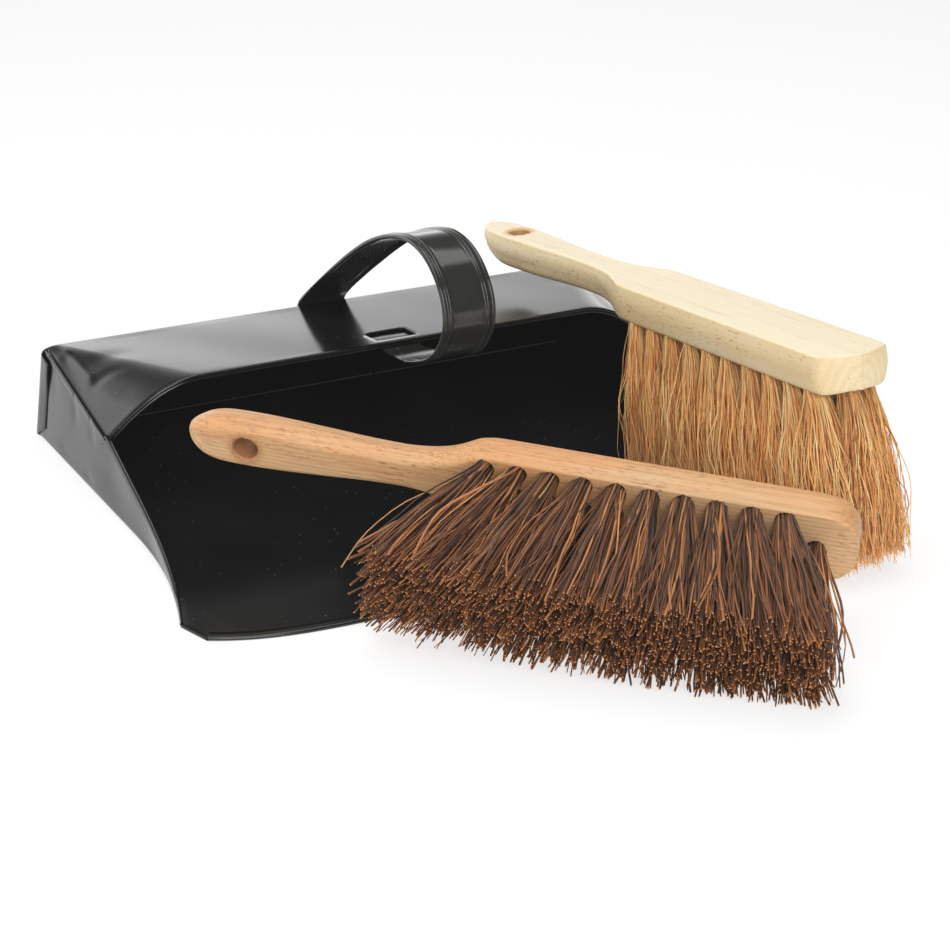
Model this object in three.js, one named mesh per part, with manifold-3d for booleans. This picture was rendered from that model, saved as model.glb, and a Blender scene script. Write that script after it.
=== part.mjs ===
// A hooded dust pan with a looped strap handle, and two wooden hand brushes: a soft coco brush that
// stands on its bristles in the pan, and a stiff bassine brush that lies on its side in front of it.
// Millimetres, +Z up. The origin is on the floor, at the middle of the pan's base: +X runs to the
// right along the pan's back, and -Y runs out through its mouth.
import * as THREE from "three";
import { mergeVertices } from "three/addons/utils/BufferGeometryUtils.js";
import Module from "manifold-3d";

const wasm = await Module();
wasm.setup();

// ---------- driving dimensions ----------
const SHEET = 0.9; // steel sheet with its paint
const GAP = 0.3; // clearance between neighbouring pieces
const INSET = 0.15; // how far one stretch of a sheet sits inside the next that it is joined to

const PAN = {
  halfWidth: 152.5,
  back: 120, // Y of the back wall's foot
  flareStart: -10, // Y where the side edges begin to spread
  flareEnd: -103, // Y of the widest point, at the front corners
  flare: 15, // extra half width there
  lipHalf: 162.4, // half width of the front lip, inside the cut corners
  lipFront: -134.5, // Y of the lip's middle
  lipBow: 15.5, // how far the lip's ends sit back
  lipPower: 6,
  lean: 2.5, // how far the walls lean in at the top
  leanRange: [-40, 20], // Y between which the lean sets in
  flarePower: 2.2,
  lipHeight: 1.5, // height left in the side walls where they run out
  wallEnd: -80, // Y where the side walls run out
  wallPower: 1.15,
  rear: 118.5, // Y where the lower sheet ends, inside the back wall
  beadRadius: 1.2, // rolled top edge of the side walls
  hemWidth: 6, // folded front lip
  hemThick: 1.62,
  hemTaper: 0.985, // how much narrower the lip's fold is at its inner edge
};

const HOOD = {
  backY: 109.8, // Y of the back fold
  backZ: 50.7,
  frontY: 20.3,
  frontZ: 58.1,
  cornerZ: 31.8, // height of the front corner at the side wall
  plateau: 103, // half width of the flat top at the front edge
  apex: 142, // half width at the back, where the corner facets fan out from
  foldRadius: 4.5,
  hem: [1.6, 1.2], // half depth and half height of the rolled front edge
  fan: 2.1, // exponent of the front edge's fall from the flat top to the corner
  cornerDrop: 1.2, // how much lower the back fold's ends are
  foldShare: 0.85, // height at which the back fold begins, as a part of backZ
  foldMiddle: [0.6, 1.3], // how far in and down the middle of the fold lies
  hemSet: [0.7, 0.95], // how far ahead and below its edge the rolled front edge lies
  flange: 5, // side flange, inside the wall
  flangeTop: 0.5, // below the seam
  flangeEnds: [6, 1], // short of the back fold and of the front edge
  tabDrop: [1, 2.5], // how far below tabTop the tab's inner and outer corners lie
  tab: 11, // width of the corner tab, outside the wall
  tabTop: 46,
  tabFoot: 7,
};

const WINDOW = { half: 11, back: 40, front: 25.8, bottom: 50, top: 62 }; // cut through the hood

const STRAP = {
  half: 13.7,
  tongueHalf: 10.2,
  // centre line in Y and Z: foot on the back wall, rising run, loop, tongue under the hood
  route: [
    [114.5, 33], [112.6, 42], [110.7, 50.2], [104.5, 56.4], [89.6, 67.7], [72.1, 80.3],
    [48, 96.6], [28, 108], [10, 115.2], [-8, 118.6], [-24, 115.8], [-36, 108], [-43.2, 97.5],
    [-44.5, 87], [-39.5, 76], [-30, 67.4], [-15, 61], [-2, 57.4], [8, 55.6], [16, 54.4],
    [21, 54.6], [25.5, 55.3], [31, 55.4], [38.2, 54.8],
  ],
  stations: 33,
  beadStart: [0.1, 0.28], // where along the strap the rolled edges rise, as parts of its length
  beadEnd: [0.76, 0.86], // and where they fade out
  narrowing: [0.84, 0.93], // where it narrows to the tongue
};

const BRUSH = {
  length: 291,
  thick: 18,
  half: 18, // half width of the block
  bristle: 78, // free length of the bristles
  holeAt: 28, // hanging hole, from the handle's tip
  holeRadius: 5.5,
  pitch: 14,
  rowSpacing: 12,
  tuftRadius: 4,
  socketDepth: 9.6,
  tipRow: 13.6, // row spacing at the tips
  sides: 14, // sides of the block's section
  rounding: [0.72, 0.4], // exponent of the section's superellipse, on the handle and on the block
  squaring: [112, 140], // where the section changes from the one to the other
  waist: 0.8, // how much thinner the handle's neck is, above and below
  waistStart: [60, 95],
  waistEnd: [105, 130],
  tipThin: 0.28, // how much thinner the handle's tip is
  tipThinLength: 10,
  endThin: 0.12,
  endThinStart: 284,
  skewStart: 250, // where the skew of the block's end begins
};

// outlines: distance from the handle's tip, half width
const HANDLE = [
  [0, 2.5], [1.5, 5.2], [5, 8], [11, 10], [20, 11.1], [30, 11.3], [44, 10.8], [62, 9.5],
  [82, 8.4], [96, 8.2],
];
const COCO_OUTLINE = [
  ...HANDLE, [110, 9], [120, 11], [129, 14.3], [136, 17.2], [143, 18],
  [276, 18], [281.5, 17.9], [285.8, 16.2], [288, 12], [289.9, 6.5], [291, 2.5],
];
const COCO_SKEW = 0.19; // slope of the coco block's end, which is cut a little askew
const BASSINE_OUTLINE = [
  ...HANDLE, [104, 8.9], [114, 11], [122.5, 14.3], [129, 17.2], [136, 18],
  [272, 18], [281, 17.2], [286, 14.6], [289.6, 9.5], [291, 3.5],
];

// position of the handle's tip, then yaw, pitch and roll in degrees
const COCO_POSE = { at: [97.8, 102.3, 64.1], turn: [-87.4, -4.05, 3.5] };
const BASSINE_POSE = { at: [-137.4, -38.1, 54.4], turn: [-42.4, 3.7, -75.2] };

// rows: name, place across, number of tufts and where the first one is; tips: where the bristles' tips
// start and end along the brush; restZ: the surface that the tips stand on
const COCO_TUFTS = {
  rows: [["a", -1, 10, 147], ["b", 0, 10, 154], ["c", 1, 10, 147]],
  tips: [145, 299],
  gap: -0.6, // between neighbouring tufts at their tips; these overlap
  restZ: 2,
};
const BASSINE_TUFTS = {
  rows: [["a", -1, 10, 133.5], ["b", 0, 11, 133.5], ["c", 1, 10, 133.5]],
  tips: [99, 288],
  gap: 0.45,
  restZ: 0.35,
};
const TUFT_SIDES = 8;
const TUFT_SQUARING = 1.08; // a tuft's round section grows square toward its cell at the tips
const SOCKET_ROOM = 0.35; // between a tuft and its socket


// ---------- materials ----------
const finish = (color, roughness, metalness) =>
  new THREE.MeshStandardMaterial({ color, roughness, metalness });
const BLACK_PAINT = () => finish(0x16181a, 0.25, 0.4);
const PALE_WOOD = () => finish(0xe8d5a6, 0.6, 0);
const TAN_WOOD = () => finish(0xd9a872, 0.55, 0);
const COCO_FIBRE = () => finish(0xb87a42, 0.85, 0);
const BASSINE_FIBRE = () => finish(0x4a3326, 0.8, 0);

// ---------- solids ----------
function toSolid(geometry) {
  const bare = geometry.index ? geometry : geometry.clone();
  bare.deleteAttribute("normal");
  bare.deleteAttribute("uv");
  const merged = mergeVertices(bare, 1e-4);
  return new wasm.Manifold(new wasm.Mesh({
    numProp: 3,
    vertProperties: new Float32Array(merged.attributes.position.array),
    triVerts: new Uint32Array(merged.index.array),
  }));
}

function toGeometry(solid) {
  const mesh = solid.getMesh();
  const geometry = new THREE.BufferGeometry();
  geometry.setAttribute("position", new THREE.BufferAttribute(mesh.vertProperties, 3));
  geometry.setIndex(new THREE.BufferAttribute(mesh.triVerts, 1));
  geometry.computeVertexNormals();
  return geometry;
}

function indexed(points, faces) {
  const geometry = new THREE.BufferGeometry();
  const flat = points.flatMap((p) => [p.x, p.y, p.z]);
  geometry.setAttribute("position", new THREE.Float32BufferAttribute(flat, 3));
  geometry.setIndex(faces);
  return geometry;
}

// Turns a closed geometry the right way out when its volume comes out negative.
function outward(points, faces) {
  let volume = 0;
  for (let k = 0; k < faces.length; k += 3) {
    const [a, b, c] = [points[faces[k]], points[faces[k + 1]], points[faces[k + 2]]];
    volume += a.dot(new THREE.Vector3().crossVectors(b, c));
  }
  if (volume > 0) return indexed(points, faces);
  const flipped = [];
  for (let k = 0; k < faces.length; k += 3) flipped.push(faces[k], faces[k + 2], faces[k + 1]);
  return indexed(points, flipped);
}

// A sheet of even thickness: grid[i][j] are points on one face, and the other face lies along the
// grid's own normals.
function sheetFromGrid(grid, thickness) {
  const rows = grid.length;
  const columns = grid[0].length;
  const at = (i, j) => grid[Math.min(Math.max(i, 0), rows - 1)][Math.min(Math.max(j, 0), columns - 1)];
  const far = grid.map((row, i) => row.map((point, j) => {
    const along = at(i + 1, j).clone().sub(at(i - 1, j));
    const across = at(i, j + 1).clone().sub(at(i, j - 1));
    return point.clone().addScaledVector(along.cross(across).normalize(), thickness);
  }));
  const points = [...grid.flat(), ...far.flat()];
  const near = (i, j) => i * columns + j;
  const away = (i, j) => rows * columns + near(i, j);
  const faces = [];
  const quad = (a, b, c, d) => faces.push(a, b, c, a, c, d);
  for (let i = 0; i + 1 < rows; i += 1) {
    for (let j = 0; j + 1 < columns; j += 1) {
      quad(near(i, j), near(i, j + 1), near(i + 1, j + 1), near(i + 1, j));
      quad(away(i, j), away(i + 1, j), away(i + 1, j + 1), away(i, j + 1));
    }
    quad(near(i, 0), near(i + 1, 0), away(i + 1, 0), away(i, 0));
    const last = columns - 1;
    quad(near(i, last), away(i, last), away(i + 1, last), near(i + 1, last));
  }
  for (let j = 0; j + 1 < columns; j += 1) {
    quad(near(0, j), away(0, j), away(0, j + 1), near(0, j + 1));
    const last = rows - 1;
    quad(near(last, j), near(last, j + 1), away(last, j + 1), away(last, j));
  }
  return outward(points, faces);
}

// A closed body through rings of equally many points, capped by a fan at each end.
function loft(rings) {
  const sides = rings[0].length;
  const points = rings.flat();
  const faces = [];
  for (let i = 0; i + 1 < rings.length; i += 1) {
    for (let k = 0; k < sides; k += 1) {
      const a = i * sides + k;
      const b = i * sides + ((k + 1) % sides);
      faces.push(a, b, b + sides, a, b + sides, a + sides);
    }
  }
  for (const [ring, flip] of [[0, true], [rings.length - 1, false]]) {
    const middle = new THREE.Vector3();
    rings[ring].forEach((p) => middle.addScaledVector(p, 1 / sides));
    points.push(middle);
    for (let k = 0; k < sides; k += 1) {
      const a = ring * sides + k;
      const b = ring * sides + ((k + 1) % sides);
      faces.push(points.length - 1, flip ? b : a, flip ? a : b);
    }
  }
  return outward(points, faces);
}

function box(x0, x1, y0, y1, z0, z1) {
  const geometry = new THREE.BoxGeometry(x1 - x0, y1 - y0, z1 - z0);
  geometry.translate((x0 + x1) / 2, (y0 + y1) / 2, (z0 + z1) / 2);
  return toSolid(geometry);
}

const union = (solids) => solids.reduce((whole, piece) => whole.add(piece));
const steps = (from, to, count) =>
  Array.from({ length: count + 1 }, (_, k) => from + ((to - from) * k) / count);
const smooth = (from, to, value) => THREE.MathUtils.smoothstep(value, from, to);

function mesh(name, geometry, material) {
  const piece = new THREE.Mesh(geometry, material);
  piece.name = name;
  return piece;
}

// ---------- dust pan ----------
function edgeHalf(y) {
  const reach = Math.max(0, (PAN.flareStart - y) / (PAN.flareStart - PAN.flareEnd));
  return PAN.halfWidth + PAN.flare * reach ** PAN.flarePower;
}

const lipY = (x) => PAN.lipFront + PAN.lipBow * (Math.abs(x) / PAN.lipHalf) ** PAN.lipPower;

// Height of the line where hood and side wall meet.
function seamZ(y) {
  const reach = (HOOD.backY - y) / (HOOD.backY - HOOD.frontY);
  return THREE.MathUtils.lerp(HOOD.backZ, HOOD.cornerZ, reach);
}

// The side walls' rear edge leans with the back wall, a little way in front of it.
const rearEdgeZ = (y) => ((PAN.rear - y) * HOOD.backZ) / (PAN.back - HOOD.backY);

function wallZ(y) {
  if (y > HOOD.frontY) return Math.min(seamZ(y), rearEdgeZ(y));
  const left = Math.max(0, (y - PAN.wallEnd) / (HOOD.frontY - PAN.wallEnd));
  return PAN.lipHeight + (HOOD.cornerZ - PAN.lipHeight) * left ** PAN.wallPower;
}

// Half width of the side wall's outer face.
const wallHalf = (y, z) => edgeHalf(y) - PAN.lean * (z / HOOD.backZ) * smooth(...PAN.leanRange, y);

function panOutline() {
  const right = steps(PAN.rear, PAN.flareEnd, 12).map((y) => [edgeHalf(y), y]);
  const lip = steps(PAN.lipHalf, -PAN.lipHalf, 16).map((x) => [x, lipY(x)]);
  const left = right.map(([x, y]) => [-x, y]).reverse();
  return [...right, ...lip, ...left];
}

function trayWall(side) {
  const corner = PAN.rear - (PAN.back - HOOD.backY);
  const ys = [PAN.rear, ...steps(corner, HOOD.frontY, 3), ...steps(8, PAN.flareEnd, 8)];
  const grid = ys.map((y) => [0, 0.5, 1].map((part) => {
    const z = wallZ(y) * part;
    return new THREE.Vector3(side * wallHalf(y, z), y, z);
  }));
  if (side < 0) grid.reverse();
  return toSolid(sheetFromGrid(grid, SHEET));
}

// The rolled bead along a side wall's free top edge.
function trayBead(side) {
  const ys = steps(HOOD.frontY - 3, PAN.flareEnd, 10);
  const middle = ys.map((y) => {
    const z = Math.max(wallZ(y), PAN.beadRadius);
    return new THREE.Vector3(side * (wallHalf(y, z) - PAN.beadRadius), y, z);
  });
  const rings = middle.map((centre) => steps(0, 5, 5).map((k) => {
    const angle = (k * Math.PI) / 3 + Math.PI / 6;
    const offset = new THREE.Vector3(Math.cos(angle), 0, Math.sin(angle));
    return centre.clone().addScaledVector(offset, PAN.beadRadius);
  }));
  return toSolid(loft(rings));
}

function panTray() {
  const outline = panOutline();
  const shape = new THREE.Shape(outline.map(([x, y]) => new THREE.Vector2(x, y)));
  const base = toSolid(new THREE.ExtrudeGeometry(shape, { depth: SHEET, bevelEnabled: false }));
  const lip = steps(-PAN.lipHalf, PAN.lipHalf, 16);
  const hem = new THREE.Shape([
    ...lip.map((x) => new THREE.Vector2(x, lipY(x))),
    ...lip.reverse().map((x) => new THREE.Vector2(x * PAN.hemTaper, lipY(x) + PAN.hemWidth)),
  ]);
  const hemSolid = toSolid(new THREE.ExtrudeGeometry(hem, { depth: PAN.hemThick, bevelEnabled: false }));
  const pieces = [base, hemSolid];
  for (const side of [-1, 1]) pieces.push(trayWall(side), trayBead(side));
  return mesh("pan_tray", toGeometry(union(pieces)), BLACK_PAINT());
}

// Height of the hood's front edge at a distance x from the middle.
function frontZ(x) {
  const out = Math.max(0, (Math.abs(x) - HOOD.plateau) / (hoodFrontHalf - HOOD.plateau));
  return HOOD.frontZ - (HOOD.frontZ - HOOD.cornerZ) * out ** HOOD.fan;
}
const hoodFrontHalf = wallHalf(HOOD.frontY, HOOD.cornerZ) - SHEET - GAP;
const hoodBackHalf = wallHalf(HOOD.backY, HOOD.backZ) - SHEET - GAP;

const foldFootY = THREE.MathUtils.lerp(PAN.back, HOOD.backY, HOOD.foldShare);

// One column of the upper sheet, from under the back fold to the front edge. Parts -0.5 to 0.5 make
// the flat top; the rest fan out from the back corners.
function hoodColumn(part) {
  const side = Math.sign(part);
  const flat = Math.min(Math.abs(part), 0.5) / 0.5;
  const fan = Math.max(0, Math.abs(part) - 0.5) / 0.5;
  const xFront = side * (flat * HOOD.plateau + fan * (hoodFrontHalf - HOOD.plateau));
  const xBack = side * (flat * HOOD.apex + fan * (hoodBackHalf - HOOD.apex));
  const top = HOOD.backZ - fan ** 3 * HOOD.cornerDrop;
  const topY = HOOD.backY - HOOD.foldRadius;
  const [foldIn, foldDown] = HOOD.foldMiddle;
  const column = [
    new THREE.Vector3(xBack, foldFootY - INSET, top - HOOD.backZ * (1 - HOOD.foldShare)),
    new THREE.Vector3(xBack, HOOD.backY - foldIn, top - foldDown),
  ];
  for (const t of [0, 0.3, 0.6, 0.85, 1]) {
    const y = THREE.MathUtils.lerp(topY, HOOD.frontY, t);
    const x = THREE.MathUtils.lerp(xBack, xFront, t);
    column.push(new THREE.Vector3(x, y, THREE.MathUtils.lerp(top, frontZ(xFront), t)));
  }
  return column;
}

const hoodParts = [...steps(-1, -0.5, 7), -0.17, 0.17, ...steps(0.5, 1, 7)];

// The hood's front edge is rolled under.
function hoodHem() {
  const [ahead, below] = HOOD.hemSet;
  const rings = hoodParts.map((part) => {
    const edge = hoodColumn(part).pop();
    return steps(0, 7, 7).map((k) => {
      const angle = ((k + 0.5) * Math.PI) / 4;
      const y = edge.y + HOOD.hem[0] * (ahead + Math.cos(angle));
      const x = edge.x * (1 - INSET / PAN.halfWidth);
      return new THREE.Vector3(x, y, edge.z + HOOD.hem[1] * (Math.sin(angle) - below));
    });
  });
  return toSolid(loft(rings));
}

function backWall() {
  const grid = [HOOD.foldShare + 0.05, 0.5, 0].map((rise) => [-1, 1].map((side) => {
    const y = THREE.MathUtils.lerp(PAN.back, HOOD.backY, rise);
    const z = rise * HOOD.backZ;
    return new THREE.Vector3(side * (wallHalf(y, z) + GAP + SHEET - INSET), y, z);
  }));
  return toSolid(sheetFromGrid(grid, SHEET));
}

// The back wall's tab, folded round the corner onto the side wall.
function cornerTab(side) {
  const lean = (HOOD.backY - PAN.back) / HOOD.backZ;
  const [innerDrop, outerDrop] = HOOD.tabDrop;
  const edges = [
    [INSET, INSET, HOOD.tabTop - innerDrop],
    [HOOD.tab, HOOD.tabFoot, HOOD.tabTop - outerDrop],
  ];
  const grid = edges.map(([width, foot, top]) => [foot, (foot + top) / 2, top].map((z) => {
    const y = PAN.back - width + lean * z;
    return new THREE.Vector3(side * (wallHalf(y, z) + GAP), y, z);
  }));
  if (side > 0) grid.reverse();
  return toSolid(sheetFromGrid(grid, SHEET));
}

function sideFlange(side) {
  const [backEnd, frontEnd] = HOOD.flangeEnds;
  const ys = [HOOD.backY - backEnd, HOOD.frontY + frontEnd];
  const grid = ys.map((y) => [HOOD.flangeTop, HOOD.flange].map((down) => {
    const z = seamZ(y) - down;
    return new THREE.Vector3(side * (wallHalf(y, z) - SHEET - GAP - INSET), y, z);
  }));
  if (side > 0) grid.reverse();
  return toSolid(sheetFromGrid(grid, SHEET));
}

function hoodAndBack() {
  const pieces = [toSolid(sheetFromGrid(hoodParts.map(hoodColumn), SHEET)), hoodHem(), backWall()];
  for (const side of [-1, 1]) pieces.push(cornerTab(side), sideFlange(side));
  const window = box(
    -WINDOW.half, WINDOW.half, WINDOW.front, WINDOW.back, WINDOW.bottom, WINDOW.top);
  return mesh("hood_and_back", toGeometry(union(pieces).subtract(window)), BLACK_PAINT());
}

// Cross-section of the strap: across, and out of its face. A rolled edge and a ridge beside it.
const STRAP_SECTION = [
  [-1, -0.5], [-0.985, 0.7], [-0.93, 1.1], [-0.88, 0.15], [-0.82, 0.75], [-0.75, 0], [0, 0],
  [0.75, 0], [0.82, 0.75], [0.88, 0.15], [0.93, 1.1], [0.985, 0.7], [1, -0.5],
];

function handleStrap() {
  const route = new THREE.CatmullRomCurve3(
    STRAP.route.map(([y, z]) => new THREE.Vector3(0, y, z)), false, "centripetal");
  const grid = steps(0, 1, STRAP.stations).map((part) => {
    const centre = route.getPointAt(part);
    const tangent = route.getTangentAt(part);
    const out = new THREE.Vector3(0, -tangent.z, tangent.y).negate();
    const narrow = smooth(...STRAP.narrowing, part);
    const half = THREE.MathUtils.lerp(STRAP.half, STRAP.tongueHalf, narrow);
    const bead = smooth(...STRAP.beadStart, part) * (1 - smooth(...STRAP.beadEnd, part));
    return STRAP_SECTION.map(([across, rise]) =>
      new THREE.Vector3(across * half, centre.y, centre.z)
        .addScaledVector(out, rise * bead - SHEET / 2));
  });
  return mesh("handle_strap", toGeometry(toSolid(sheetFromGrid(grid, SHEET))), BLACK_PAINT());
}

// ---------- brushes ----------
// A brush's own frame: u from the handle's tip to the block's end, v across, w up out of its back.
// The bristle face is at w = 0, and the bristles point to -w.
function poseMatrix(pose) {
  const [yaw, pitch, roll] = pose.turn.map(THREE.MathUtils.degToRad);
  const turn = new THREE.Matrix4().makeRotationFromEuler(new THREE.Euler(roll, pitch, yaw, "ZYX"));
  return turn.setPosition(...pose.at);
}

// A rounded-rectangle ring across the brush at distance u. The block's end can be cut at a skew.
function blockRing(u, half, skew) {
  const power = THREE.MathUtils.lerp(...BRUSH.rounding, smooth(...BRUSH.squaring, u));
  const tipThin = BRUSH.tipThin * (1 - smooth(0, BRUSH.tipThinLength, u));
  const endThin = BRUSH.endThin * smooth(BRUSH.endThinStart, BRUSH.length, u);
  const waist = BRUSH.waist * smooth(...BRUSH.waistStart, u) * (1 - smooth(...BRUSH.waistEnd, u));
  const rise = (BRUSH.thick / 2) * (1 - tipThin - endThin) - waist;
  const skewed = skew * smooth(BRUSH.skewStart, BRUSH.length, u);
  return steps(0, BRUSH.sides - 1, BRUSH.sides - 1).map((k) => {
    const angle = ((k + 0.5) * 2 * Math.PI) / BRUSH.sides;
    const c = Math.cos(angle);
    const s = Math.sin(angle);
    const v = Math.sign(c) * Math.abs(c) ** power * half;
    const w = Math.sign(s) * Math.abs(s) ** power * rise;
    return new THREE.Vector3(u + skewed * v, v, BRUSH.thick / 2 + w);
  });
}

// Tuft centres, with the cell that each one fills at the bristles' tips.
function tuftPlan(plan) {
  return plan.rows.map(([row, across, count, first]) => {
    const v = across * BRUSH.rowSpacing;
    const cell = (plan.tips[1] - plan.tips[0]) / count;
    return steps(0, count - 1, count - 1).map((k) => ({
      row,
      u: first + k * BRUSH.pitch,
      v,
      uTip: plan.tips[0] + cell * (k + 0.5),
      vTip: across * BRUSH.tipRow,
      halfU: (cell - plan.gap) / 2,
      halfV: (BRUSH.tipRow - GAP) / 2,
    }));
  });
}

// One bundle of bristles: a round root in its hole, spreading to its cell at the tips.
function tuftSolid(tuft, matrix, restZ) {
  const levels = [[BRUSH.socketDepth - GAP, 0], [-2, 0], [-30, 0.3], [-BRUSH.bristle, 1]];
  const rings = levels.map(([w, spread]) => {
    const ring = [];
    for (let k = 0; k < TUFT_SIDES; k += 1) {
      const angle = ((k + 0.5) * 2 * Math.PI) / TUFT_SIDES;
      const round = [Math.cos(angle), Math.sin(angle)];
      const square = round.map((c) => Math.sign(c) * Math.min(1, Math.abs(c) * TUFT_SQUARING));
      const root = [tuft.u + round[0] * BRUSH.tuftRadius, tuft.v + round[1] * BRUSH.tuftRadius];
      const tip = [tuft.uTip + square[0] * tuft.halfU, tuft.vTip + square[1] * tuft.halfV];
      const point = new THREE.Vector3(
        THREE.MathUtils.lerp(root[0], tip[0], spread), THREE.MathUtils.lerp(root[1], tip[1], spread), w);
      point.applyMatrix4(matrix);
      point.z = Math.max(point.z, restZ);
      ring.push(point);
    }
    return ring;
  });
  return toSolid(loft(rings));
}

// An eight-sided or rounder hole along w.
function holeSolid(u, v, radius, w0, w1, sides) {
  const geometry = new THREE.CylinderGeometry(radius, radius, w1 - w0, sides);
  geometry.rotateX(Math.PI / 2).rotateZ(Math.PI / sides);
  geometry.translate(u, v, (w0 + w1) / 2);
  return toSolid(geometry);
}

function brushBlock(name, pose, outline, skew, tufts, material) {
  let block = toSolid(loft(outline.map(([u, half]) => blockRing(u, half, skew))));
  const past = 5; // how far each hole's cutter reaches past the block
  const through = BRUSH.thick + past;
  const holes = [holeSolid(BRUSH.holeAt, 0, BRUSH.holeRadius, -past, through, BRUSH.sides)];
  const socket = BRUSH.tuftRadius + SOCKET_ROOM;
  for (const tuft of tufts.flat()) {
    holes.push(holeSolid(tuft.u, tuft.v, socket, -past, BRUSH.socketDepth, TUFT_SIDES));
  }
  for (const hole of holes) block = block.subtract(hole);
  return mesh(name, toGeometry(block).applyMatrix4(poseMatrix(pose)), material);
}

function bassineBrush() {
  const group = new THREE.Group();
  const tufts = tuftPlan(BASSINE_TUFTS);
  const matrix = poseMatrix(BASSINE_POSE);
  group.add(brushBlock("bassine_block", BASSINE_POSE, BASSINE_OUTLINE, 0, tufts, TAN_WOOD()));
  for (const row of tufts) {
    row.forEach((tuft, k) => {
      const name = `bassine_tuft_${tuft.row}_${String(k + 1).padStart(2, "0")}`;
      const solid = tuftSolid(tuft, matrix, BASSINE_TUFTS.restZ);
      group.add(mesh(name, toGeometry(solid), BASSINE_FIBRE()));
    });
  }
  return group;
}

function cocoBrush() {
  const group = new THREE.Group();
  const tufts = tuftPlan(COCO_TUFTS);
  const matrix = poseMatrix(COCO_POSE);
  group.add(brushBlock("coco_block", COCO_POSE, COCO_OUTLINE, COCO_SKEW, tufts, PALE_WOOD()));
  for (const row of tufts) {
    const solids = row.map((tuft) => tuftSolid(tuft, matrix, COCO_TUFTS.restZ));
    group.add(mesh(`coco_tuft_row_${row[0].row}`, toGeometry(union(solids)), COCO_FIBRE()));
  }
  return group;
}

const group = new THREE.Group();
group.add(panTray(), hoodAndBack(), handleStrap());
group.add(cocoBrush(), bassineBrush());

export default group;
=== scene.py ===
"""A black hooded dust pan with its coco hand brush and its bassine hand brush, as one still life."""

import math

import bpy
import numpy as np
from mathutils import Matrix, Vector


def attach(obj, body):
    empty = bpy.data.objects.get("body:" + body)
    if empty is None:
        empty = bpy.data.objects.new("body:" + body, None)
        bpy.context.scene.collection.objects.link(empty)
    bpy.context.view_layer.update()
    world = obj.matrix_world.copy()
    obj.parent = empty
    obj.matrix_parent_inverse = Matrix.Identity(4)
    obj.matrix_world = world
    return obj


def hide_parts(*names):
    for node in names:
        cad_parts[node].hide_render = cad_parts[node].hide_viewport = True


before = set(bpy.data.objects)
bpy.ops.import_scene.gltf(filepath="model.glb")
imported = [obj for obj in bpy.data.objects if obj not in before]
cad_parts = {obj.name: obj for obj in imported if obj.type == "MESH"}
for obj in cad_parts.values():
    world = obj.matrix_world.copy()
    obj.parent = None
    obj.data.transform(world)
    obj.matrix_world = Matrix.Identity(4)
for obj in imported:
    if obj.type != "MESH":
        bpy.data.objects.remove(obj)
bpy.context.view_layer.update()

MM = 0.001  # every size below is in millimetres, and becomes metres where a mesh is made

# ---------- dust pan ----------
SHEET = 0.9
GAP = 0.3
PAN_HALF = 152.5
PAN_BACK = 120.0
PAN_REAR = 118.5
FLARE_START = -10.0
FLARE_END = -103.0
FLARE = 15.0
LIP_HALF = 162.4
LIP_FRONT = -134.5
LIP_BOW = 15.5
WALL_LEAN = 2.5
WALL_END = -80.0
LIP_HEIGHT = 1.5
FOLD_RADIUS = 1.8  # between base and side walls
RIM_RADIUS = 1.2  # rolled rim of the side walls
LIP_HEM = 6.0
LIP_CORNER_Y = LIP_FRONT + LIP_BOW
SHARP_ANGLE = 38  # degrees, where two faces of the sheet metal meet in a crisp edge

HOOD_BACK_Y = 109.8
HOOD_BACK_Z = 50.7
HOOD_FRONT_Y = 20.3
HOOD_FRONT_Z = 58.1
HOOD_CORNER_Z = 31.8
HOOD_PLATEAU = 103.0
HOOD_APEX = 142.0
HOOD_FOLD = 4.5  # radius of the back fold
UNDER_FOLD = (98.0, 108.0)  # Y over which the wall's top sinks below the rounded back corner
UNDER_FOLD_DROP = 1.6
HOOD_STRAIGHT = 16.0  # half width of the strip whose columns run straight, round the window
TAB_WIDTH = 11.0
TAB_TOP = 46.0
TAB_FOOT = 7.0
WINDOW_HALF = 11.0
WINDOW_BACK = 40.0
WINDOW_FRONT = 25.8

# ---------- strap ----------
STRAP_HALF = 13.7
TONGUE_HALF = 10.2
STRAP_ROUTE = [  # Y, Z of its middle line: foot, rising run, loop, tongue
    (114.5, 33), (112.6, 42), (110.7, 50.2), (104.5, 56.4), (89.6, 67.7), (72.1, 80.3),
    (48, 96.6), (28, 108), (10, 115.2), (-8, 118.6), (-24, 115.8), (-36, 108), (-43.2, 97.5),
    (-44.5, 87), (-39.5, 76), (-30, 67.4), (-15, 61), (-2, 57.4), (8, 55.6), (16, 54.4),
    (21, 54.6), (25.5, 55.3), (31, 55.4), (38.2, 54.8),
]
ROLL_RADIUS = 1.25  # of the strap's rolled edges

# ---------- brushes ----------
BLOCK_LENGTH = 291.0
BLOCK_THICK = 18.0
BRISTLE = 78.0
NOSE_LENGTH = 19.0  # how far the bassine brush's handle thins out toward its tip
HOLE_AT = 28.0
HOLE_RADIUS = 5.5
TUFT_PITCH = 14.0
TUFT_RADIUS = 4.0
ROW_SPACING = 12.0
TIP_ROW = 13.6
SOCKET_DEPTH = 9.6
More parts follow.
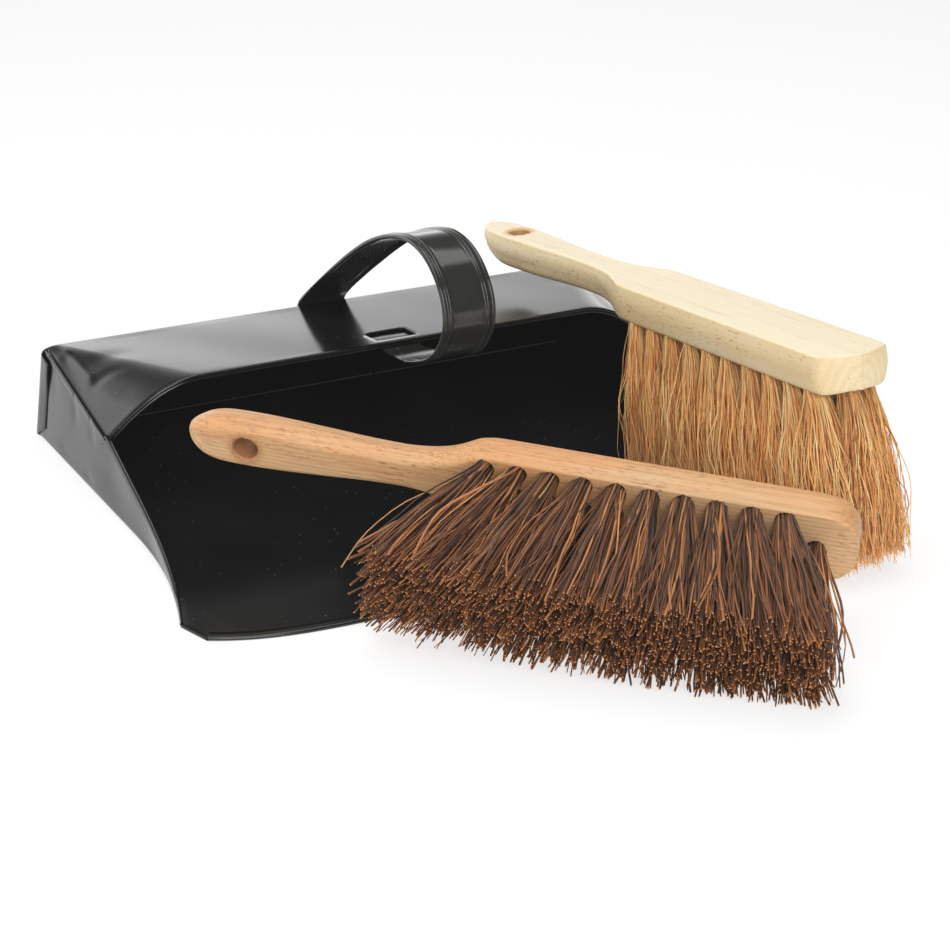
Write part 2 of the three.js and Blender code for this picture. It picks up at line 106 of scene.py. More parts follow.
# distance from the handle's tip, and half width there
HANDLE_OUTLINE = [
    (0, 1.2), (0.4, 2.6), (1.5, 4.4), (5, 7.3), (11, 9.8), (20, 11.1), (30, 11.3), (44, 10.8), (62, 9.5),
    (82, 8.4), (96, 8.2),
]
COCO = {
    "at": (97.8, 102.3, 64.1),
    "turn": (-87.4, -4.05, 3.5),
    "shoulder": [(110, 9), (120, 11), (129, 14.3), (136, 17.2), (143, 18)],
    "end": [(276, 18), (281.5, 17.9), (284.4, 17.3), (285.8, 16.2), (288, 12), (289.9, 6.5), (290.8, 2.5),
            (291, 1)],
    "rows": [("a", -1, 10, 147.0), ("b", 0, 10, 154.0), ("c", 1, 10, 147.0)],
    "tips": (145.0, 299.0),
    "skew": 0.19,
}
BASSINE = {
    "at": (-137.4, -38.1, 54.4),
    "turn": (-42.4, 3.7, -75.2),
    "shoulder": [(104, 8.9), (114, 11), (122.5, 14.3), (129, 17.2), (136, 18)],
    "end": [(272, 18), (279, 17.5), (284, 15.9), (288, 12.4), (290.2, 8), (291, 2)],
    "rows": [("a", -1, 10, 133.5), ("b", 0, 11, 133.5), ("c", 1, 10, 133.5)],
    "tips": (99.0, 288.0),
    "skew": 0.0,
}

# ---------- camera ----------
CAMERA_AT = (-0.4429, -0.8168, 0.4055)
CAMERA_AZIMUTH = -30.11
CAMERA_ELEVATION = 23.82
CAMERA_ROLL = 1.37
CAMERA_LENS = 78.73


# ---------- small helpers ----------
def smooth(low, high, value):
    """0 below low, 1 above high, and an even S between them."""
    part = np.clip((np.asarray(value, float) - low) / (high - low), 0, 1)
    return part * part * (3 - 2 * part)


def mix(a, b, part):
    return a + (b - a) * part


def spline(knots, values, at):
    """A smooth curve through the knots that never overshoots them."""
    knots, values, at = (np.asarray(v, float) for v in (knots, values, at))
    step = np.diff(knots)
    slope = np.diff(values) / step
    tangent = np.zeros(len(knots))
    tangent[0], tangent[-1] = slope[0], slope[-1]
    rising = slope[:-1] * slope[1:] > 0
    harmonic = 2 * slope[:-1] * slope[1:] / np.where(rising, slope[:-1] + slope[1:], 1)
    tangent[1:-1] = np.where(rising, harmonic, 0)
    k = np.clip(np.searchsorted(knots, at, side="right") - 1, 0, len(knots) - 2)
    t = (at - knots[k]) / step[k]
    a, b = values[k], values[k + 1]
    da, db = tangent[k] * step[k], tangent[k + 1] * step[k]
    return a + t * (da + t * (3 * (b - a) - 2 * da - db + t * (2 * (a - b) + da + db)))


def circle(count):
    return np.linspace(0, 2 * math.pi, count, endpoint=False)


def ripple(x, y, seed, wave):
    """A smooth wavy field between about -1 and 1, with waves of about the length given."""
    rng = np.random.default_rng(seed)
    total = 0
    for _ in range(5):
        angle = rng.uniform(0, 2 * math.pi)
        length = wave * rng.uniform(0.7, 1.5)
        along = np.asarray(x) * math.cos(angle) + np.asarray(y) * math.sin(angle)
        total = total + np.sin(2 * math.pi * along / length + rng.uniform(0, 2 * math.pi))
    return total / 3


def grid_quads(rows, columns, ring=False, keep=None):
    """Four-sided faces between the neighbouring points of a grid."""
    width = columns if ring else columns - 1
    i, j = np.meshgrid(np.arange(rows - 1), np.arange(width), indexing="ij")
    k = (j + 1) % columns
    quads = np.stack([i * columns + j, i * columns + k, (i + 1) * columns + k, (i + 1) * columns + j], -1)
    return quads[keep] if keep is not None else quads.reshape(-1, 4)


def make_mesh(name, points, polygon_sets):
    """A mesh from points in millimetres and from arrays of equal-sided polygons."""
    mesh = bpy.data.meshes.new(name)
    mesh.vertices.add(len(points))
    mesh.vertices.foreach_set("co", (np.asarray(points, float) * MM).ravel())
    loops = np.concatenate([np.asarray(p).ravel() for p in polygon_sets])
    sizes = np.concatenate([np.full(len(p), np.shape(p)[1]) for p in polygon_sets])
    mesh.loops.add(len(loops))
    mesh.loops.foreach_set("vertex_index", loops.astype(np.int32))
    mesh.polygons.add(len(sizes))
    starts = np.concatenate([[0], np.cumsum(sizes)[:-1]])
    mesh.polygons.foreach_set("loop_start", starts.astype(np.int32))
    mesh.update(calc_edges=True)
    return mesh


def make_piece(name, mesh, material, place=None):
    piece = bpy.data.objects.new(name, mesh)
    bpy.context.scene.collection.objects.link(piece)
    piece.data.materials.append(material)
    if place is not None:
        piece.matrix_world = place
    return piece


def mesh_piece(name, points, polygon_sets, material, place=None):
    return make_piece(name, make_mesh(name, points, polygon_sets), material, place)


def apply_modifiers(piece):
    """Turns the piece's modifiers into its mesh."""
    bpy.context.view_layer.update()
    seen = piece.evaluated_get(bpy.context.evaluated_depsgraph_get())
    mesh = bpy.data.meshes.new_from_object(seen)
    piece.modifiers.clear()
    piece.data = mesh


def shade(piece, angle):
    """Smooth shading, with an edge wherever two faces meet at more than the angle in degrees."""
    piece.data.polygons.foreach_set("use_smooth", [True] * len(piece.data.polygons))
    piece.data.set_sharp_from_angle(angle=math.radians(angle))


def settle(piece, body, slot, *nodes):
    """The piece rides on its body and stands for the CAD nodes named; its slot is not used."""
    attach(piece, body)
    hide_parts(*nodes)


def closed_loft(rings):
    """Points and faces of a closed body through rings, an array of ring, side and coordinate."""
    count, sides = rings.shape[:2]
    points = rings.reshape(-1, 3)
    quads = grid_quads(count, sides, ring=True)
    caps = np.stack([np.arange(sides)[::-1], (count - 1) * sides + np.arange(sides)])
    return points, quads, caps


def centripetal(points, count):
    """Evenly spaced points and tangents on a smooth curve through a list of points."""
    p = np.asarray(points, float)
    p = np.vstack([2 * p[0] - p[1], p, 2 * p[-1] - p[-2]])
    gap = np.linalg.norm(np.diff(p, axis=0), axis=1)[:, None] ** 0.5
    dense = []
    for k in range(1, len(p) - 2):
        before, step, after = gap[k - 1], gap[k], gap[k + 1]
        chord = (p[k + 1] - p[k]) / step
        start = (p[k] - p[k - 1]) / before - (p[k + 1] - p[k - 1]) / (before + step) + chord
        stop = chord - (p[k + 2] - p[k]) / (step + after) + (p[k + 2] - p[k + 1]) / after
        t = np.linspace(0, 1, 24, endpoint=False)[:, None]
        a, b = start * step, stop * step
        rise = p[k + 1] - p[k]
        dense.append(p[k] + t * (a + t * (3 * rise - 2 * a - b + t * (a + b - 2 * rise))))
    dense = np.vstack([*dense, p[-2:-1]])
    length = np.concatenate([[0], np.cumsum(np.linalg.norm(np.diff(dense, axis=0), axis=1))])
    at = np.linspace(0, length[-1], count)
    even = np.stack([np.interp(at, length, dense[:, c]) for c in range(p.shape[1])], -1)
    tangent = np.gradient(even, axis=0)
    return even, tangent / np.linalg.norm(tangent, axis=1)[:, None]


# ---------- the pan's outlines ----------
def edge_half(y):
    """Half width of the base at y, flared to the front and cut at the front corners."""
    reach = np.clip((FLARE_START - y) / (FLARE_START - FLARE_END), 0, 1)
    cut = np.clip((FLARE_END - y) / (FLARE_END - LIP_CORNER_Y), 0, 1)
    return PAN_HALF + FLARE * reach ** 2.2 - (PAN_HALF + FLARE - LIP_HALF) * cut


def lip_y(x):
    return LIP_FRONT + LIP_BOW * np.minimum(1, np.abs(x) / LIP_HALF) ** 6


def seam_z(y):
    """Height of the seam between hood and side wall."""
    return mix(HOOD_BACK_Z, HOOD_CORNER_Z, (HOOD_BACK_Y - y) / (HOOD_BACK_Y - HOOD_FRONT_Y))


def wall_top(y):
    """Height of a side wall at y: along the seam under the hood, then down its free edge."""
    free = np.clip((y - WALL_END) / (HOOD_FRONT_Y - WALL_END), 0, 1)
    open_edge = LIP_HEIGHT + (HOOD_CORNER_Z - LIP_HEIGHT) * free ** 1.15
    rear_edge = (PAN_REAR - y) * HOOD_BACK_Z / (PAN_BACK - HOOD_BACK_Y)
    under_fold = seam_z(y) - UNDER_FOLD_DROP * smooth(*UNDER_FOLD, y)
    return np.where(y > HOOD_FRONT_Y, np.minimum(under_fold, rear_edge), open_edge)


def wall_x(y, z):
    """Distance of a side wall's outer face from the middle."""
    return edge_half(y) - WALL_LEAN * z / HOOD_BACK_Z * smooth(-40, 20, y)


def back_wall_y(z):
    return mix(PAN_BACK, HOOD_BACK_Y, z / HOOD_BACK_Z)


# ---------- pan tray ----------
PINCHES = (65.0, 43.5)  # Y of the two crimps in the seam
STRIP_BACK = 101.0
STRIP_FRONT = 25.5
STRIP_SINK = 1.1  # of its back end, over the last stretch
STRIP_SINK_LENGTH = 14.0


def wall_dents(y, z):
    """How far the side walls are pushed in: beside the crimps and along the foot."""
    dents = [(PINCHES[0] + 1, 34, 4, 7, 0.7), (PINCHES[1] - 1, 29.5, 4, 5, 0.6), (94, 38, 6, 7, 0.5),
             (80, 3, 7, 5, 0.5), (47, 3, 5, 4, 0.6), (12, 14, 20, 8, 0.7), (-35, 5, 25, 6, 0.4)]
    total = 0.15 * ripple(y, z, 11, 60)
    for dent_y, dent_z, wide, high, depth in dents:
        total = total + 0.65 * depth * np.exp(-((y - dent_y) / wide) ** 2 - ((z - dent_z) / high) ** 2)
    return total * smooth(0, 4, z) * smooth(-60, -30, y)


def tray_sheet():
    """The lower sheet's outer face: base, folds and both side walls, as one grid."""
    across = np.linspace(-1, 1, 81)
    rise = np.linspace(0, 1, 15)[1:]
    angles = np.radians(np.linspace(-90, 0, 7))[1:]
    rows = []
    for part in np.linspace(0, 1, 111):
        edge_y = mix(PAN_REAR, LIP_CORNER_Y + 0.5, part)
        foot = wall_x(edge_y, 0)
        top = wall_top(edge_y)
        fold = min(FOLD_RADIUS, 0.45 * top)
        inner = foot - fold
        base_x = across * inner
        base_y = mix(PAN_REAR, lip_y(across * LIP_HALF) + 0.5, part)
        sag = smooth(0, 25, inner - np.abs(base_x)) * smooth(0, 0.1, part) * (1 - smooth(0.85, 1, part))
        base_z = 0.22 * (1 + ripple(base_x, base_y, 5, 110)) * sag
        wall_z = mix(fold, top, rise)
        arc_x = inner + fold * np.cos(angles)
        arc_z = fold + fold * np.sin(angles)
        flat_x = wall_x(edge_y, wall_z) - wall_dents(edge_y, wall_z) * (1 - smooth(0.75, 1, rise))
        side_x = np.concatenate([arc_x, flat_x])
        side_z = np.concatenate([arc_z, wall_z])
        side_y = np.full(len(side_x), edge_y)
        right = np.stack([side_x, side_y, side_z], -1)
        left = right[::-1] * (-1, 1, 1)
        rows.append(np.vstack([left, np.stack([base_x, base_y, base_z], -1), right]))
    grid = np.array(rows)
    return grid.reshape(-1, 3), grid_quads(*grid.shape[:2])


def tube(middle, radius, sides=14):
    """A closed round bar; its section stands across the Y axis."""
    angles = circle(sides)
    rings = middle[:, None, :] + np.stack([
        radius[:, None] * np.cos(angles), 0 * radius[:, None] * angles, radius[:, None] * np.sin(angles)], -1)
    return closed_loft(rings[::-1])


def side_rim(side):
    """The rolled rim along a side wall's free edge, thinning out to nothing at the lip."""
    y = np.linspace(HOOD_FRONT_Y + 6, FLARE_END, 60)
    radius = RIM_RADIUS * mix(0.55, 1, smooth(FLARE_END, WALL_END + 10, y))
    height = wall_top(y)
    middle = np.stack([side * (wall_x(y, height) - radius), y, np.maximum(height, radius)], -1)
    return tube(middle, radius)


def seam_strip(side):
    """The side wall's top edge, folded flat over the hood's flange and crimped twice."""
    y = np.linspace(STRIP_BACK, STRIP_FRONT, 90)
    narrow = smooth(0, 3, PINCHES[0] - y) + smooth(0, 3, PINCHES[1] - y)
    ends = (0.35 + 0.65 * smooth(0, 6, STRIP_BACK - y)) * (0.4 + 0.6 * smooth(0, 4, y - STRIP_FRONT))
    half = (2.2 - 0.45 * narrow) * ends
    crimp = sum(np.exp(-((y - at) / 1.6) ** 2) for at in PINCHES)
    out = 0.75 - 0.35 * crimp
    z = seam_z(y) - half + 0.2 - STRIP_SINK * smooth(-STRIP_SINK_LENGTH, 0, y - STRIP_BACK)
    angles = circle(16)
    flat = [np.sign(f(angles)) * np.abs(f(angles)) ** 0.7 for f in (np.cos, np.sin)]
    x = wall_x(y, z)[:, None] - 0.25 + out[:, None] * flat[0]
    rings = np.stack([side * x, y[:, None] + 0 * x, z[:, None] + half[:, None] * flat[1]], -1)
    return closed_loft(rings[::-1] if side > 0 else rings)


def lip_hem():
    """The folded front lip: a round nose with a flat return over the base."""
    nose = np.radians(np.linspace(-90, -270, 9))
    profile = np.vstack([
        np.stack([0.9 + 0.9 * np.cos(nose), 0.9 + 0.9 * np.sin(nose)], -1),
        [[2.5, 1.75], [LIP_HEM - 0.6, 1.55], [LIP_HEM - 0.1, 1.3], [LIP_HEM, 0.7], [LIP_HEM - 0.4, 0.3]],
    ])
    x = np.linspace(-LIP_HALF + 0.4, LIP_HALF - 0.4, 120)
    slope = np.gradient(lip_y(x), x)
    size = np.sqrt(1 + slope ** 2)
    ahead = np.stack([-slope / size, 1 / size], -1)
    rings = np.stack([
        x[:, None] + ahead[:, :1] * profile[:, 0],
        lip_y(x)[:, None] + ahead[:, 1:] * profile[:, 0],
        0 * x[:, None] + profile[:, 1]], -1)
    return closed_loft(rings)


def join_shells(shells):
    """One set of points and faces from several."""
    points = []
    polygons = []
    start = 0
    for shell in shells:
        points.append(shell[0])
        polygons += [faces + start for faces in shell[1:]]
        start += len(shell[0])
    return np.vstack(points), polygons


def solid_sheet(name, points, quads, material):
    """A piece of painted sheet of even thickness, grown inwards from its outer face."""
    piece = mesh_piece(name, points, [quads], material)
    thicken = piece.modifiers.new("thickness", "SOLIDIFY")
    thicken.thickness = SHEET * MM
    thicken.offset = -1
    edge = piece.modifiers.new("edge", "BEVEL")
    edge.width = 0.2 * MM
    edge.segments = 2
    edge.angle_limit = math.radians(60)
    apply_modifiers(piece)
    return piece


def add_shells(piece, shells):
    """Adds closed shells to a piece's mesh."""
    points, polygons = join_shells(shells)
    extra = mesh_piece("extra", points, polygons, piece.data.materials[0])
    with bpy.context.temp_override(active_object=piece, selected_editable_objects=[piece, extra]):
        bpy.ops.object.join()


def make_tray(material):
    piece = solid_sheet("lower_sheet", *tray_sheet(), material)
    shells = [lip_hem()]
    for side in (-1, 1):
        shells += [side_rim(side), seam_strip(side)]
    add_shells(piece, shells)
    shade(piece, SHARP_ANGLE)
    settle(piece, "dustpan", "black_paint", "pan_tray")


# ---------- hood ----------
HOOD_TOP_Y = 106.1  # where the back fold begins
HOOD_FRONT_HALF = float(wall_x(HOOD_FRONT_Y, HOOD_CORNER_Z)) - SHEET - GAP
HOOD_BACK_HALF = float(wall_x(HOOD_BACK_Y, HOOD_BACK_Z)) - SHEET - GAP


def hood_dents(x, y):
    """How far the corner's sheet metal is pushed down: one sharp kink, its crease and soft hollows."""
    def crease(start, stop, width, depth, fade):
        (x0, y0), (x1, y1) = start, stop
        size = math.hypot(x1 - x0, y1 - y0)
        along = ((x - x0) * (x1 - x0) + (y - y0) * (y1 - y0)) / size
        off = ((x - x0) * (y1 - y0) - (y - y0) * (x1 - x0)) / size
        ends = smooth(-2.5, 1.5, along) * (1 - smooth(fade * size, size, along))
        return depth * ends * np.exp(-(off / width) ** 2)
    total = crease((142.7, 61.9), (126, 54), 2.4, 0.7, 0.1)
    total = total - crease((143.6, 98), (142.4, 60), 1.8, 0.4, 0.85)
    total = total + crease((145.6, 92), (146.6, 40), 2.8, 0.45, 0.4)
    total = total + crease((141.5, 60), (131.3, 27), 4.4, 0.35, 0.6)
    total = total + 0.4 * np.exp(-((x - 132) / 9) ** 2 - ((y - 74) / 8) ** 2)
    return total


def hood_top(x_front, part):
    """A point on the hood's top face: part runs from the back fold to the front edge."""
    side = np.sign(x_front)
    out = np.abs(x_front)
    fan = np.clip((out - HOOD_PLATEAU) / (HOOD_FRONT_HALF - HOOD_PLATEAU), 0, 1)
    widen = (HOOD_APEX - HOOD_STRAIGHT) / (HOOD_PLATEAU - HOOD_STRAIGHT)
    straight = np.minimum(out, HOOD_STRAIGHT)
    spread = np.clip(out, HOOD_STRAIGHT, HOOD_PLATEAU) - HOOD_STRAIGHT
    back_x = straight + widen * spread + fan * (HOOD_BACK_HALF - HOOD_APEX)
    front_z = HOOD_FRONT_Z - (HOOD_FRONT_Z - HOOD_CORNER_Z) * fan ** 2.1
    x = side * mix(back_x, out, part)
    y = mix(HOOD_TOP_Y, HOOD_FRONT_Y + 5 * fan ** 3, part)
    z = mix(HOOD_BACK_Z - 1.2 * fan ** 3, front_z, part)
    inside = smooth(0, 0.06, part) * (1 - smooth(0.93, 1, part)) * (1 - smooth(0.93, 1, fan))
    depth = np.where(side < 0, 1, 0.6) * hood_dents(np.abs(x), y) + 0.12 * ripple(x, y, 3, 75)
    return np.stack([x, y, z - depth * inside], -1)


def hood_columns():
    middle = np.linspace(0, WINDOW_HALF, 4)
    near = np.linspace(WINDOW_HALF, HOOD_STRAIGHT, 3)[1:]
    flat = np.linspace(HOOD_STRAIGHT, HOOD_PLATEAU, 24)[1:]
    fan = mix(HOOD_PLATEAU, HOOD_FRONT_HALF - 0.6, np.linspace(0, 1, 41)[1:] ** 0.9)
    right = np.concatenate([middle, near, flat, fan])
    return np.concatenate([-right[:0:-1], right])


FLANGE = [(0.42, -0.18), (0.6, -0.6), (0.6, -1.6), (0.6, -3), (0.6, -4.5), (0.6, -5.6)]
TAB_STEPS = [0.5, 0.9, 1.4, 4, 7.5, TAB_WIDTH]  # how far round the corner each column of the tab is


def flange_points(edge, side):
    return [edge + np.array([side * out, 0, up]) for out, up in FLANGE]


def tab_points(z, side):
    """One level of the corner tab, from the back wall round onto the side wall."""
    points = []
    for step in TAB_STEPS:
        wide = step / TAB_WIDTH
        level = mix(TAB_FOOT * wide, TAB_TOP - 2.5 * wide, z / TAB_TOP)
        turn = min(1, step / 1.4)
        lift = 0.2 * wide * float(smooth(30, 46, z)) - 0.75 * wide * (1 - float(smooth(22, 38, z)))
        y = back_wall_y(level) - (1 - math.cos(turn * math.pi / 2)) - max(0, step - 1.4)
        x = wall_x(y, level) + GAP + SHEET - 1 + math.sin(turn * math.pi / 2) + lift
        points.append(np.array([side * float(x), float(y), level]))
    return points


def hood_sheet():
    """The upper sheet's outer face: hood, back fold and back wall, with its flanges and tabs."""
    columns = hood_columns()
    front = [21.2, 23.5, WINDOW_FRONT, 29.3, 33, 36.5, WINDOW_BACK]
    top_rows = np.concatenate([front, np.linspace(WINDOW_BACK, HOOD_TOP_Y, 27)[1:]])
    rows = []
    for y in top_rows:
        points = hood_top(columns, (HOOD_TOP_Y - y) / (HOOD_TOP_Y - HOOD_FRONT_Y))
        right = flange_points(points[-1], 1)
        left = flange_points(points[0], -1)[::-1]
        rows.append([*left, *points, *right])
    lean = math.degrees(math.atan2(PAN_BACK - HOOD_BACK_Y, HOOD_BACK_Z))
    last = np.array(rows[-1][len(FLANGE):-len(FLANGE)])
    fold_rows = np.radians(np.linspace(90, lean, 9)[1:])
    wall_half = float(wall_x(110, 47)) + GAP + SHEET
    for k, angle in enumerate(fold_rows):
        points = last.copy()
        points[:, 1] += HOOD_FOLD * math.cos(angle)
        points[:, 2] += HOOD_FOLD * (math.sin(angle) - 1)
        points[:, 0] *= mix(1, (wall_half - 0.7) / (HOOD_BACK_HALF - 0.6), (k + 1) / len(fold_rows))
        rows.append([points[0]] * len(FLANGE) + [*points] + [points[-1]] * len(FLANGE))
    wall_z = [TAB_TOP, 44, 40, 35, 30, 25, 20, 15, 10, 6, 3, 0.4]
    for z in wall_z:
        y = float(back_wall_y(z))
        half = float(wall_x(y, z)) + GAP + SHEET - 1
        ridge = 0.35 * ripple(columns, z, 8, 90) * min(1, z / 10)
        points = np.stack([columns / columns[-1] * half, y - ridge * (1 - (columns / columns[-1]) ** 8),
                           np.full(len(columns), z)], -1)
        right = tab_points(z, 1)
        left = tab_points(z, -1)[::-1]
        rows.append([*left, *points, *right])
    grid = np.array(rows)
    keep = np.ones((grid.shape[0] - 1, grid.shape[1] - 1), bool)
    extra = len(FLANGE)
    fold_start, fold_stop = len(top_rows) - 1, len(top_rows) + len(fold_rows)
    keep[fold_start:fold_stop, :extra] = False
    keep[fold_start:fold_stop, -extra:] = False
    middle = grid.shape[1] // 2
    keep[2:6, middle - 3:middle + 3] = False
    points = grid.reshape(-1, 3)
    quads = grid_quads(*grid.shape[:2], keep=keep)
    used = np.unique(quads)
    renumber = np.zeros(len(points), int)
    renumber[used] = np.arange(len(used))
    return points[used], renumber[quads]


def hood_hem():
    """The hood's front edge, folded under in two small rolls, with its ends tucked over the walls."""
    profile = np.array([
        (-1.9, -0.9), (-1.5, -0.1), (-0.9, 0.12), (-0.35, 0.02), (0, -0.3), (0.12, -0.75), (0.02, -1.12),
        (-0.18, -1.3), (0.02, -1.5), (0.16, -1.9), (0.08, -2.35), (-0.3, -2.7), (-0.9, -2.8), (-1.5, -2.5),
        (-1.8, -1.8)])
    columns = hood_columns()
    edge = hood_top(columns, 1.0)
    for side, end in ((-1, 0), (1, -1)):
        tip = np.array([edge[end] + np.array([side * out, back, -down])
                        for out, back, down in ((1.0, 0.4, 1.4), (1.9, 1.4, 2.7), (2.5, 3.0, 3.6))])
        edge = np.vstack([tip[::-1], edge]) if side < 0 else np.vstack([edge, tip])
    along = np.gradient(edge[:, [0, 2]], axis=0)
    along /= np.linalg.norm(along, axis=1)[:, None]
    up = np.stack([-along[:, 1], 0 * along[:, 0], along[:, 0]], -1)
    taper = np.ones(len(edge))
    taper[[0, -1]] = 0.35
    taper[[1, -2]] = 0.75
    profile *= 1.12
    ahead = -profile[:, 0] * taper[:, None] + 0.5
    rings = edge[:, None, :] + up[:, None, :] * (profile[:, 1] * taper[:, None])[..., None]
    rings[..., 1] += ahead
    return closed_loft(rings)


def make_hood(material):
    piece = solid_sheet("hood_sheet", *hood_sheet(), material)
    add_shells(piece, [hood_hem()])
    shade(piece, SHARP_ANGLE)
    settle(piece, "dustpan", "black_paint", "hood_and_back")


# ---------- strap ----------
STRAP_SECTION = [  # across, and out of the strap's face: the ridge beside each rolled edge
    (-1, 0), (-0.9, 0), (-0.83, 0), (-0.79, 0.4), (-0.755, 0.8), (-0.73, 0.88), (-0.705, 0.8), (-0.67, 0.4),
    (-0.63, 0), (-0.5, 0), (-0.25, 0), (0, 0),
]


def strap_roll(side, route, out, bead):
    """The strap's edge, rolled up into a bar that fades out toward both ends of the strap."""
    shown = bead > 0.02
    radius = ROLL_RADIUS * (0.35 + 0.65 * bead[shown])
    middle = route[shown]
    angles = circle(16)
    x = side * (STRAP_HALF - radius[:, None] + radius[:, None] * np.cos(angles))
    reach = radius[:, None] * np.sin(angles)
    rings = np.stack([
        x, middle[:, :1] + out[shown, :1] * reach, middle[:, 1:] + out[shown, 1:] * reach], -1)
    return closed_loft(rings[::-1] if side > 0 else rings)


def make_strap(material):
    half_section = np.array(STRAP_SECTION)
    section = np.vstack([half_section, half_section[-2::-1] * (-1, 1)])
    section, _ = centripetal(section * (STRAP_HALF, 1), 121)
    across, rise = section[:, 0] / STRAP_HALF, section[:, 1]
    route, tangent = centripetal(STRAP_ROUTE, 260)
    part = np.linspace(0, 1, len(route))
    half = mix(STRAP_HALF, TONGUE_HALF, smooth(0.84, 0.93, part)) - 0.4
    bead = smooth(0.1, 0.3, part) * (1 - smooth(0.76, 0.86, part))
    out = np.stack([tangent[:, 1], -tangent[:, 0]], -1)
    shift = rise[None, :] * bead[:, None] + SHEET / 2
    shift = shift + 0.12 * ripple(part[:, None] * 330, across[None, :] * 14, 21, 60) * (1 - across ** 2)
    grid = np.stack([
        across[None, :] * half[:, None],
        route[:, :1] + out[:, :1] * shift,
        route[:, 1:] + out[:, 1:] * shift], -1)
    piece = solid_sheet("strap", grid.reshape(-1, 3), grid_quads(*grid.shape[:2])[:, ::-1], material)
    add_shells(piece, [strap_roll(side, route, out, bead) for side in (-1, 1)])
    shade(piece, SHARP_ANGLE)
    settle(piece, "dustpan", "black_paint", "handle_strap")


# ---------- brush blocks ----------
def brush_place(brush):
    """Where a brush stands. Its own frame: u along the handle, v across, w out of its back."""
    yaw, pitch, roll = (math.radians(a) for a in brush["turn"])
    turn = Matrix.Rotation(yaw, 4, "Z") @ Matrix.Rotation(pitch, 4, "Y") @ Matrix.Rotation(roll, 4, "X")
    return Matrix.Translation(Vector(brush["at"]) * MM) @ turn


def block_ring(u, half, low, high, round_low, round_high, bulge):
    """Section across the brush: a box with rounded corners and slightly bellied sides."""
    round_low = min(round_low, half * 0.95, (high - low) * 0.49)
    round_high = min(round_high, half * 0.95, (high - low) * 0.49)
    bulge = min(bulge, half * 0.1)
    flat = half - bulge

    def corner(radius, start, v, w):
        a = np.radians(start + np.linspace(0, 90, 8))
        return np.stack([v + radius * np.cos(a), w + radius * np.sin(a)], -1)

    rise = np.linspace(0, 1, 9)[1:-1]
    side = np.stack([flat + bulge * 4 * rise * (1 - rise), mix(low + round_low, high - round_high, rise)], -1)
    top_v = np.linspace(1, -1, 11)[1:-1]
    top = np.stack([top_v * (flat - round_high), high + 0.25 * (1 - top_v ** 2)], -1)
    bottom = np.stack([-top_v * (flat - round_low), np.full(len(top_v), low)], -1)
    ring = np.vstack([
        bottom, corner(round_low, -90, flat - round_low, low + round_low), side,
        corner(round_high, 0, flat - round_high, high - round_high), top,
        corner(round_high, 90, round_high - flat, high - round_high), side[::-1] * (-1, 1),
        corner(round_low, 180, round_low - flat, low + round_low)])
    return np.column_stack([np.full(len(ring), u), ring])


def hole_shell(u, v, radius, low, high, wider, torn, rng):
    """A round hole with a widened, torn mouth at each open end."""
    angles = circle(28)
    ragged = torn * np.abs(ripple(np.cos(angles) * 9, np.sin(angles) * 9, int(rng.integers(1e6)), 5))
    levels = [(low - 3, 1), (low + 0.15, 1), (low + 0.7, 0), (high - 0.6, 0), (high - 0.1, 1), (high + 3, 1)]
    rings = []
    for level, opened in levels:
        r = radius + opened * (wider + ragged)
        rings.append(np.stack([u + r * np.cos(angles), v + r * np.sin(angles), 0 * angles + level], -1))
    return closed_loft(np.array(rings))


def tuft_plan(brush):
    """Root, and middle and half size of the cell at the tips, of every tuft, row by row."""
    plan = []
    for row, across, count, first in brush["rows"]:
        left, right = brush["tips"]
        cell = (right - left) / count
        for k in range(count):
            plan.append({
                "name": f"{row}_{k + 1:02d}",
                "row": row,
                "root": (first + k * TUFT_PITCH, across * ROW_SPACING),
                "tip": (left + cell * (k + 0.5), across * TIP_ROW),
                "half": (cell / 2, TIP_ROW / 2),
            })
    return plan


def make_block(name, brush, material, body, slot, section):
    outline = np.array(HANDLE_OUTLINE + brush["shoulder"] + brush["end"], float)
    stations = np.concatenate([
        np.linspace(0, 1, 14, endpoint=False) ** 2 * 14, np.linspace(14, 276, 110, endpoint=False),
        276 + 15 * (1 - np.linspace(1, 0, 40) ** 1.8)])
    rings = []
    for u in stations:
        half = float(spline(outline[:, 0], outline[:, 1], u))
        low, high, round_low, round_high, bulge = section(u)
        ring = block_ring(u, half, low, high, round_low, round_high, bulge)
        ring[:, 0] += brush["skew"] * ring[:, 1] * float(smooth(250, BLOCK_LENGTH, u))
        rings.append(ring)
    points, quads, caps = closed_loft(np.array(rings))
    piece = mesh_piece(name, points, [quads, caps], material, brush_place(brush))
    rng = np.random.default_rng(len(name))
    low, high = section(HOLE_AT)[:2]
    shells = [hole_shell(HOLE_AT, 0, HOLE_RADIUS, low, high + 0.2, 0.35, 0.9, rng)]
    for tuft in tuft_plan(brush):
        shells.append(hole_shell(*tuft["root"], TUFT_RADIUS, 0, SOCKET_DEPTH, 0.05, 0.1, rng))
    cutter = mesh_piece("cutter", *join_shells(shells), material, brush_place(brush))
    cut = piece.modifiers.new("holes", "BOOLEAN")
    cut.object = cutter
    cut.solver = "EXACT"
    apply_modifiers(piece)
    bpy.data.objects.remove(cutter)
    shade(piece, 33)
    settle(piece, body, slot, name)


def coco_section(u):
    """Heights, corner radii and belly of the coco brush's block: flat above, round below."""
    low = 5.5 * float(1 - smooth(-2, 24, u)) + 1.2 * float(smooth(50, 95, u) * (1 - smooth(104, 128, u)))
    end = float(smooth(282, 291, u))
    block = float(smooth(112, 140, u))
    high = BLOCK_THICK - 0.3 * end ** 2
    return low + 1.6 * end ** 2, high, mix(6.5, 3.2, block) + end, 1.5, mix(1.2, 0.9, block)


